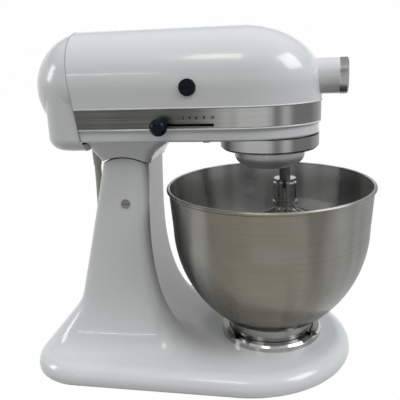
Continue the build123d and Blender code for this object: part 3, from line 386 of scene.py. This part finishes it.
def brushedSockets(r):
    s = brushed
    lines = r.stretched(s["lineStretch"])
    cloud = r.stretched(s["cloudStretch"])
    bars = r.band(r.stretched(s["barStretch"], detail=1), *s["barBand"])
    satin = r.mix(r.band(lines * 0.5 + cloud * 0.5, *s["satinBand"]), s["dark"], s["bright"])
    # painted reflection: silver broken by dark bars, more of it towards the nose
    paintedReflection = r.mix(bars, s["darkBarReflection"], s["silverReflection"])
    forward = r.band(r.axes(r.place())[0], *s["turnX"])
    return {
        "Base Color": r.mix(forward * (s["silverLeast"] + s["silverLines"] * lines), satin, paintedReflection),
        "Metallic": 1.0,
        "Roughness": s["roughness"] + s["lineRoughness"] * lines,
        "Anisotropic": s["anisotropy"],
        "Normal": r.bump(lines, *s["lineBump"]),
    }


# Polished and machined metals: fine scratches and a little tarnish
metal = dict(
    cloud=40,
    tarnishBand=(0.4, 0.75),
    cloudRoughness=0.1,
    grain=500,
    grainRoughness=0.06,
    grainBump=(0.05, 0.0001),
)


def metalSockets(color, tarnish, roughness, metallic=1.0):
    def sockets(r):
        s = metal
        cloud = r.noise(r.place(), s["cloud"], detail=3)
        fine = r.noise(r.place(), s["grain"])
        return {
            "Base Color": r.mix(r.band(cloud, *s["tarnishBand"]), color, tarnish),
            "Metallic": metallic,
            "Roughness": roughness + s["cloudRoughness"] * cloud + s["grainRoughness"] * fine,
            "Normal": r.bump(fine, *s["grainBump"]),
        }

    return sockets


# Plastics, rubber and carbon: mottled colour, with a grain from silky to rough
moulded = dict(cloud=60, grainRoughness=0.12, grainDistance=0.0002)


def mouldedSockets(color, worn, roughness, grain, depth, shine=0.5, coat=0.0):
    def sockets(r):
        s = moulded
        cloud = r.noise(r.place(), s["cloud"], detail=3)
        fine = r.noise(r.place(), grain)
        return {
            "Base Color": r.mix(cloud, color, worn),
            "Roughness": roughness + s["grainRoughness"] * fine,
            "Specular IOR Level": shine,
            "Coat Weight": coat,
            "Normal": r.bump(fine, depth, s["grainDistance"]),
        }

    return sockets


# Strain relief: dark where it sits in the end cover, and the cord's colour below
relief = dict(
    dark=(0.012, 0.014, 0.02),
    cord=(0.62, 0.62, 0.54),
    turnZ=0.2315,
    blend=0.001,
    roughness=0.45,
    grain=900,
    grainRoughness=0.15,
    grainBump=(0.1, 0.0002),
)


def reliefSockets(r):
    s = relief
    height = r.axes(r.place())[2]
    fine = r.noise(r.place(), s["grain"])
    below = 1 - r.band(height, s["turnZ"], s["turnZ"] + s["blend"])
    return {
        "Base Color": r.mix(below, s["dark"], s["cord"]),
        "Roughness": s["roughness"] + s["grainRoughness"] * fine,
        "Normal": r.bump(fine, *s["grainBump"]),
    }


finishes = {
    "white": enamelSockets,
    "bowl_steel": latheSockets,
    "band": brushedSockets,
    "chrome": metalSockets(color=(0.52, 0.52, 0.50), tarnish=(0.36, 0.36, 0.345), roughness=0.05),
    "foot": metalSockets(color=(0.38, 0.375, 0.35), tarnish=(0.27, 0.265, 0.25), roughness=0.14),
    "steel": metalSockets(color=(0.34, 0.34, 0.335), tarnish=(0.22, 0.215, 0.2), roughness=0.24),
    "wire": metalSockets(color=(0.42, 0.42, 0.41), tarnish=(0.3, 0.3, 0.29), roughness=0.14),
    "grey_metal": metalSockets(color=(0.34, 0.35, 0.35), tarnish=(0.26, 0.27, 0.27), roughness=0.34),
    "brass": metalSockets(color=(0.55, 0.40, 0.16), tarnish=(0.40, 0.28, 0.11), roughness=0.26),
    "copper": metalSockets(color=(0.55, 0.25, 0.12), tarnish=(0.38, 0.16, 0.07), roughness=0.3),
    "iron": metalSockets(color=(0.12, 0.12, 0.125), tarnish=(0.07, 0.065, 0.06), roughness=0.45),
    "black": mouldedSockets(
        color=(0.002, 0.005, 0.014),
        worn=(0.004, 0.008, 0.019),
        roughness=0.12,
        grain=700,
        depth=0.02,
        shine=0.1,
    ),
    "rubber": mouldedSockets(
        color=(0.03, 0.03, 0.032), worn=(0.05, 0.05, 0.05), roughness=0.75, grain=1500, depth=0.25
    ),
    "cord": mouldedSockets(
        color=(0.62, 0.62, 0.54), worn=(0.56, 0.56, 0.49), roughness=0.42, grain=1200, depth=0.08
    ),
    "carbon": mouldedSockets(
        color=(0.02, 0.02, 0.02), worn=(0.035, 0.035, 0.035), roughness=0.6, grain=1800, depth=0.2
    ),
    "board": mouldedSockets(
        color=(0.10, 0.06, 0.02), worn=(0.13, 0.08, 0.03), roughness=0.5, grain=800, depth=0.06, coat=0.2
    ),
    "pin": metalSockets(color=(0.20, 0.20, 0.195), tarnish=(0.13, 0.13, 0.125), roughness=0.4),
    "carrier": metalSockets(
        color=(0.50, 0.52, 0.52), tarnish=(0.42, 0.44, 0.44), roughness=0.36, metallic=0.55
    ),
    "relief": reliefSockets,
    "ink": mouldedSockets(
        color=(0.006, 0.007, 0.010),
        worn=(0.010, 0.011, 0.015),
        roughness=0.5,
        grain=1500,
        depth=0.02,
        shine=0.05,
    ),
    # grey of the painted shadow line along the end cover seam
    "seamShade": mouldedSockets(
        color=(0.36, 0.365, 0.37), worn=(0.42, 0.425, 0.43), roughness=0.5, grain=900, depth=0.05
    ),
}
finishes = {name: newFinish(name, sockets) for name, sockets in finishes.items()}
ownFinish = dict(
    planetary_carrier="carrier",
    strain_relief="relief",
    drip_cup="band",
    hinge_pin="pin",
    hub_cap="steel",
    bowl_foot="foot",
    beater_shaft="iron",
    whip_hub="wire",
)
for part in frame["record"]["subparts"]:
    finish = finishes[ownFinish.get(part["node"], part["material_slot"])]
    mesh = nodes[part["node"]].data
    mesh.materials.clear()
    mesh.materials.append(finish)
cordPiece.data.materials.append(finishes["cord"])
print("finishes made:", len(finishes))


def gridFaces(rows, columns):
    # Quads between neighbouring rows of a grid of points whose last column joins the first
    across = np.arange(columns)
    row = np.arange(rows - 1)[:, None] * columns
    here, beside = row + across, row + (across + 1) % columns
    return np.stack([here, beside, beside + columns, here + columns], axis=-1).reshape(-1, 4).tolist()


def addPiece(name, points, faces, body, finish):
    mesh = bpy.data.meshes.new(name)
    mesh.from_pydata(points.reshape(-1, 3).tolist(), [], faces)
    mesh.shade_smooth()
    mesh.materials.append(finishes[finish])
    obj = bpy.data.objects.new(name, mesh)
    scene.collection.objects.link(obj)
    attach(obj, body)


def tube(path, first, second, radii, sides):
    # A round profile carried along a path: path + cos(a) * radii[0] * first + sin(a) * radii[1] * second
    angle = np.linspace(0, 2 * math.pi, sides, endpoint=False)[None, :, None]
    ring = radii[0] * np.cos(angle) * first[:, None] + radii[1] * np.sin(angle) * second[:, None]
    points = path[:, None] + ring
    last = (len(path) - 1) * sides
    caps = [list(range(sides))[::-1], list(range(last, last + sides))]
    return points, gridFaces(len(path), sides) + caps


# Plan and section of the head, as the castings have them
head = dict(
    noseX=0.04375,
    noseLength=0.082,
    half=0.057,
    axisZ=0.298,
    seamX=-0.11525,
    seamZ=0.26,
    seamTilt=8,
)


def headPath(half, z, xFrom, count):
    # Straight sides at y = +-half from xFrom on, and a half ellipse for the nose, with their outward normals
    reach = head["noseLength"] - head["half"] + half
    angle = np.linspace(-math.pi / 2, math.pi / 2, count)
    nose = np.stack([head["noseX"] + reach * np.cos(angle), half * np.sin(angle), z + 0 * angle], axis=1)
    out = np.stack([half * np.cos(angle), reach * np.sin(angle), 0 * angle], axis=1)
    out /= np.linalg.norm(out, axis=1, keepdims=True)
    path = np.concatenate([[(xFrom, -half, z)], nose, [(xFrom, half, z)]])
    return path, np.concatenate([[(0, -1, 0)], out, [(0, 1, 0)]])


# Bright beads of the castings above and under the trim band
beads = dict(
    upper=dict(half=0.0568, z=0.2797, back=-0.1172, radii=(0.0009, 0.0008), noseSteps=72, sides=12),
    lower=dict(half=0.0554, z=0.2589, back=-0.1143, radii=(0.0014, 0.0013), noseSteps=72, sides=12),
)
for name, s in beads.items():
    path, out = headPath(s["half"], s["z"], s["back"], s["noseSteps"])
    upward = np.broadcast_to([0, 0, 1.0], path.shape)
    points, faces = tube(path, out, upward, s["radii"], s["sides"])
    addPiece(name + "_trim_bead", points, faces, "head", "white")
print("trim beads laid")


# Painted shadow line of the seam between the end cover and the motor housing: a grey strip along the seam,
# whose tilted plane cuts straight sides and a round top
seamShade = dict(
    lowZ=0.2475,
    half=0.0567,
    lowHalf=0.0561,
    bandTop=0.2795,
    bandStep=0.001,
    topSteps=60,
    radii=(0.0005, 0.0006),
    sides=8,
)


def seamPath(s, tilt):
    angle = np.linspace(-math.pi / 2, math.pi / 2, s["topSteps"])
    top = np.stack([s["half"] * np.sin(angle), head["axisZ"] + s["half"] * np.cos(angle)], axis=1)
    steps = np.array(
        [
            (s["lowHalf"], s["lowZ"]),
            (s["lowHalf"], s["bandTop"]),
            (s["half"], s["bandTop"] + s["bandStep"]),
        ]
    )
    outline = np.concatenate([steps * (-1, 1), top, steps[::-1]])
    x = head["seamX"] - (outline[:, 1] - head["seamZ"]) * math.tan(tilt)
    topOut = np.stack([0 * angle, np.sin(angle), np.cos(angle)], axis=1)
    out = np.concatenate([[(0, -1, 0)] * len(steps), topOut, [(0, 1, 0)] * len(steps)])
    return np.column_stack([x, outline]), out


tilt = math.radians(head["seamTilt"])
path, out = seamPath(seamShade, tilt)
across = np.broadcast_to([math.cos(tilt), 0, math.sin(tilt)], path.shape)
points, faces = tube(path, out, across, seamShade["radii"], seamShade["sides"])
# a grey strip as the painted shadow line of the seam
addPiece("end_cover_seam_shade", points, faces, "head", "seamShade")
print("seam laid")


# Speed scale on the trim band: numbers over the slot
scale = dict(
    marks={"2": -0.0062, "4": 0.0002, "6": 0.0068, "8": 0.0143, "10": 0.0222},
    y=-0.05666,
    z=0.2690,
    size=0.0042,
    bold=0.0001,
    curveSteps=4,
)


def addNumber(text, x, s):
    curve = bpy.data.curves.new("speed_" + text, "FONT")
    curve.body = text
    curve.align_x = "CENTER"
    curve.size = s["size"]
    curve.resolution_u = s["curveSteps"]
    curve.offset = s["bold"]
    holder = bpy.data.objects.new("speed_" + text, curve)
    mesh = bpy.data.meshes.new_from_object(holder)
    bpy.data.objects.remove(holder)
    flat = np.empty(3 * len(mesh.vertices))
    mesh.vertices.foreach_get("co", flat)
    flat = flat.reshape(-1, 3)
    placed = np.column_stack([flat[:, 0] + x, np.full(len(flat), s["y"]), flat[:, 1] + s["z"]])
    mesh.vertices.foreach_set("co", placed.ravel())
    mesh.materials.clear()
    mesh.materials.append(finishes["ink"])
    obj = bpy.data.objects.new("speed_number_" + text, mesh)
    scene.collection.objects.link(obj)
    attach(obj, "head")


for text, x in scale["marks"].items():
    addNumber(text, x, scale)
print("speed scale printed")


# Slotted screw heads that the castings carry
screwForm = dict(rings=26, spokes=96, droop=0.75, slotHalf=0.16, slotFloor=0.3, sunk=0.0006)
screws = {
    "end_cover_screw": dict(
        place=(-0.1727, 0, 0.2832), out=(-0.966, 0, -0.259), radius=0.0042, height=0.0014, body="head"
    ),
    "height_screw": dict(
        place=(-0.0561, -0.029, 0.2224), out=(0.423, 0, 0.906), radius=0.0038, height=0.0008, body="stand"
    ),
}


def screwHead(s, form):
    # Height over a disc: a dome, height * (1 - droop * share^4), lowered to slotFloor of that in the slot,
    # where |across| < slotHalf; its rim is sunk into the casting
    share = np.linspace(0, 1, form["rings"])[:, None]
    angle = np.linspace(0, 2 * math.pi, form["spokes"], endpoint=False)[None]
    along, across = share * np.cos(angle), share * np.sin(angle)
    slot = np.where(np.abs(across) < form["slotHalf"], form["slotFloor"], 1)
    rise = s["height"] * (1 - form["droop"] * share**4) * slot
    rise[-1] = -form["sunk"]
    out = Vector(s["out"]).normalized()
    first = out.orthogonal().normalized()
    second = out.cross(first)
    disc = along[..., None] * np.array(first) + across[..., None] * np.array(second)
    points = np.array(s["place"]) + s["radius"] * disc
    return points + rise[..., None] * np.array(out), gridFaces(form["rings"], form["spokes"])


for name, s in screws.items():
    points, faces = screwHead(s, screwForm)
    addPiece(name, points, faces, s["body"], "steel")
print("screws set")


# Studio: a floor and wall that are grey to the light but white to the camera and in mirrors, a sky that
# brightens upwards, and four lamps
studio = dict(
    wallRadius=4,
    wallHeight=2,
    wallSides=96,
    floor=(0.23, 0.23, 0.213),
    floorRoughness=0.9,
    lift=0.99,
    zenith=(0.84, 0.855, 0.90),
    horizon=(0.09, 0.09, 0.08),
    rise=(0.14, 1.0),
    strength=1.0,
    lamps=[
        dict(
            name="ceiling_panel",
            place=(-0.18, -1.15, 2.1),
            target=(0.03, -0.05, 0.3),
            size=(0.5, 0.34),
            power=4.0,
            color=(1, 0.94, 0.82),
        ),
        dict(
            name="tube_light",
            place=(-1.1, -2.45, 1.65),
            target=(-0.08, -0.05, 0.3),
            size=(0.7, 0.07),
            power=2.0,
            color=(1, 1, 1),
        ),
        dict(
            name="rear_window",
            place=(-2.0, -0.35, 1.0),
            target=(-0.1, 0, 0.25),
            size=(0.45, 0.8),
            power=8.0,
            color=(0.92, 0.96, 1),
        ),
        dict(
            name="front_window",
            place=(1.7, -0.45, 1.65),
            target=(0.1, 0, 0.3),
            size=(1.0, 1.0),
            power=21,
            color=(0.94, 0.97, 1),
        ),
    ],
)


def addLamp(s):
    data = bpy.data.lights.new(s["name"], "AREA")
    data.shape = "RECTANGLE"
    data.size, data.size_y = s["size"]
    data.energy = s["power"]
    data.color = s["color"]
    obj = bpy.data.objects.new(s["name"], data)
    obj.location = s["place"]
    obj.rotation_euler = (Vector(s["target"]) - Vector(s["place"])).to_track_quat("-Z", "Y").to_euler()
    scene.collection.objects.link(obj)


def addStage(name, points, faces, s):
    mesh = bpy.data.meshes.new(name)
    mesh.from_pydata(points, [], faces)
    material = bpy.data.materials.new(name)
    r = Recipe(material)
    shader = r.tree.nodes["Principled BSDF"]
    shader.inputs["Base Color"].default_value = (*s["floor"], 1)
    shader.inputs["Roughness"].default_value = s["floorRoughness"]
    rays = ("Is Camera Ray", "Is Glossy Ray", "Is Transmission Ray")
    seen, mirrored, through = (r.node("ShaderNodeLightPath", {}, {}, ray) for ray in rays)
    white = r.node("ShaderNodeEmission", {}, {"Color": (1, 1, 1, 1), "Strength": 1.0})
    shown = (seen + mirrored + through).math("MINIMUM", 1) * s["lift"]
    lifted = r.node("ShaderNodeMixShader", {}, {0: shown, 1: Term(r, shader.outputs[0]), 2: white})
    r.feed(r.tree.nodes["Material Output"].inputs["Surface"], lifted)
    mesh.materials.append(material)
    obj = bpy.data.objects.new(name, mesh)
    scene.collection.objects.link(obj)


def addStudio(s):
    # A round floor with an upright wall about it
    turn = np.linspace(0, 2 * math.pi, s["wallSides"], endpoint=False)
    rim = s["wallRadius"] * np.stack([np.cos(turn), np.sin(turn), 0 * turn], axis=1)
    wall = np.concatenate([rim, rim + (0, 0, s["wallHeight"])]).tolist()
    addStage("floor", rim.tolist(), [list(range(s["wallSides"]))], s)
    addStage("backdrop", wall, gridFaces(2, s["wallSides"]), s)
    world = bpy.data.worlds.new("studio")
    r = Recipe(world)
    height = r.axes(r.node("ShaderNodeTexCoord", {}, {}, "Generated"))[2]
    background = r.tree.nodes["Background"]
    r.feed(background.inputs["Color"], r.mix(r.band(height, *s["rise"]), s["horizon"], s["zenith"]))
    background.inputs["Strength"].default_value = s["strength"]
    scene.world = world
    for lamp in s["lamps"]:
        addLamp(lamp)


addStudio(studio)
print("studio lit")


bpy.context.view_layer.update()
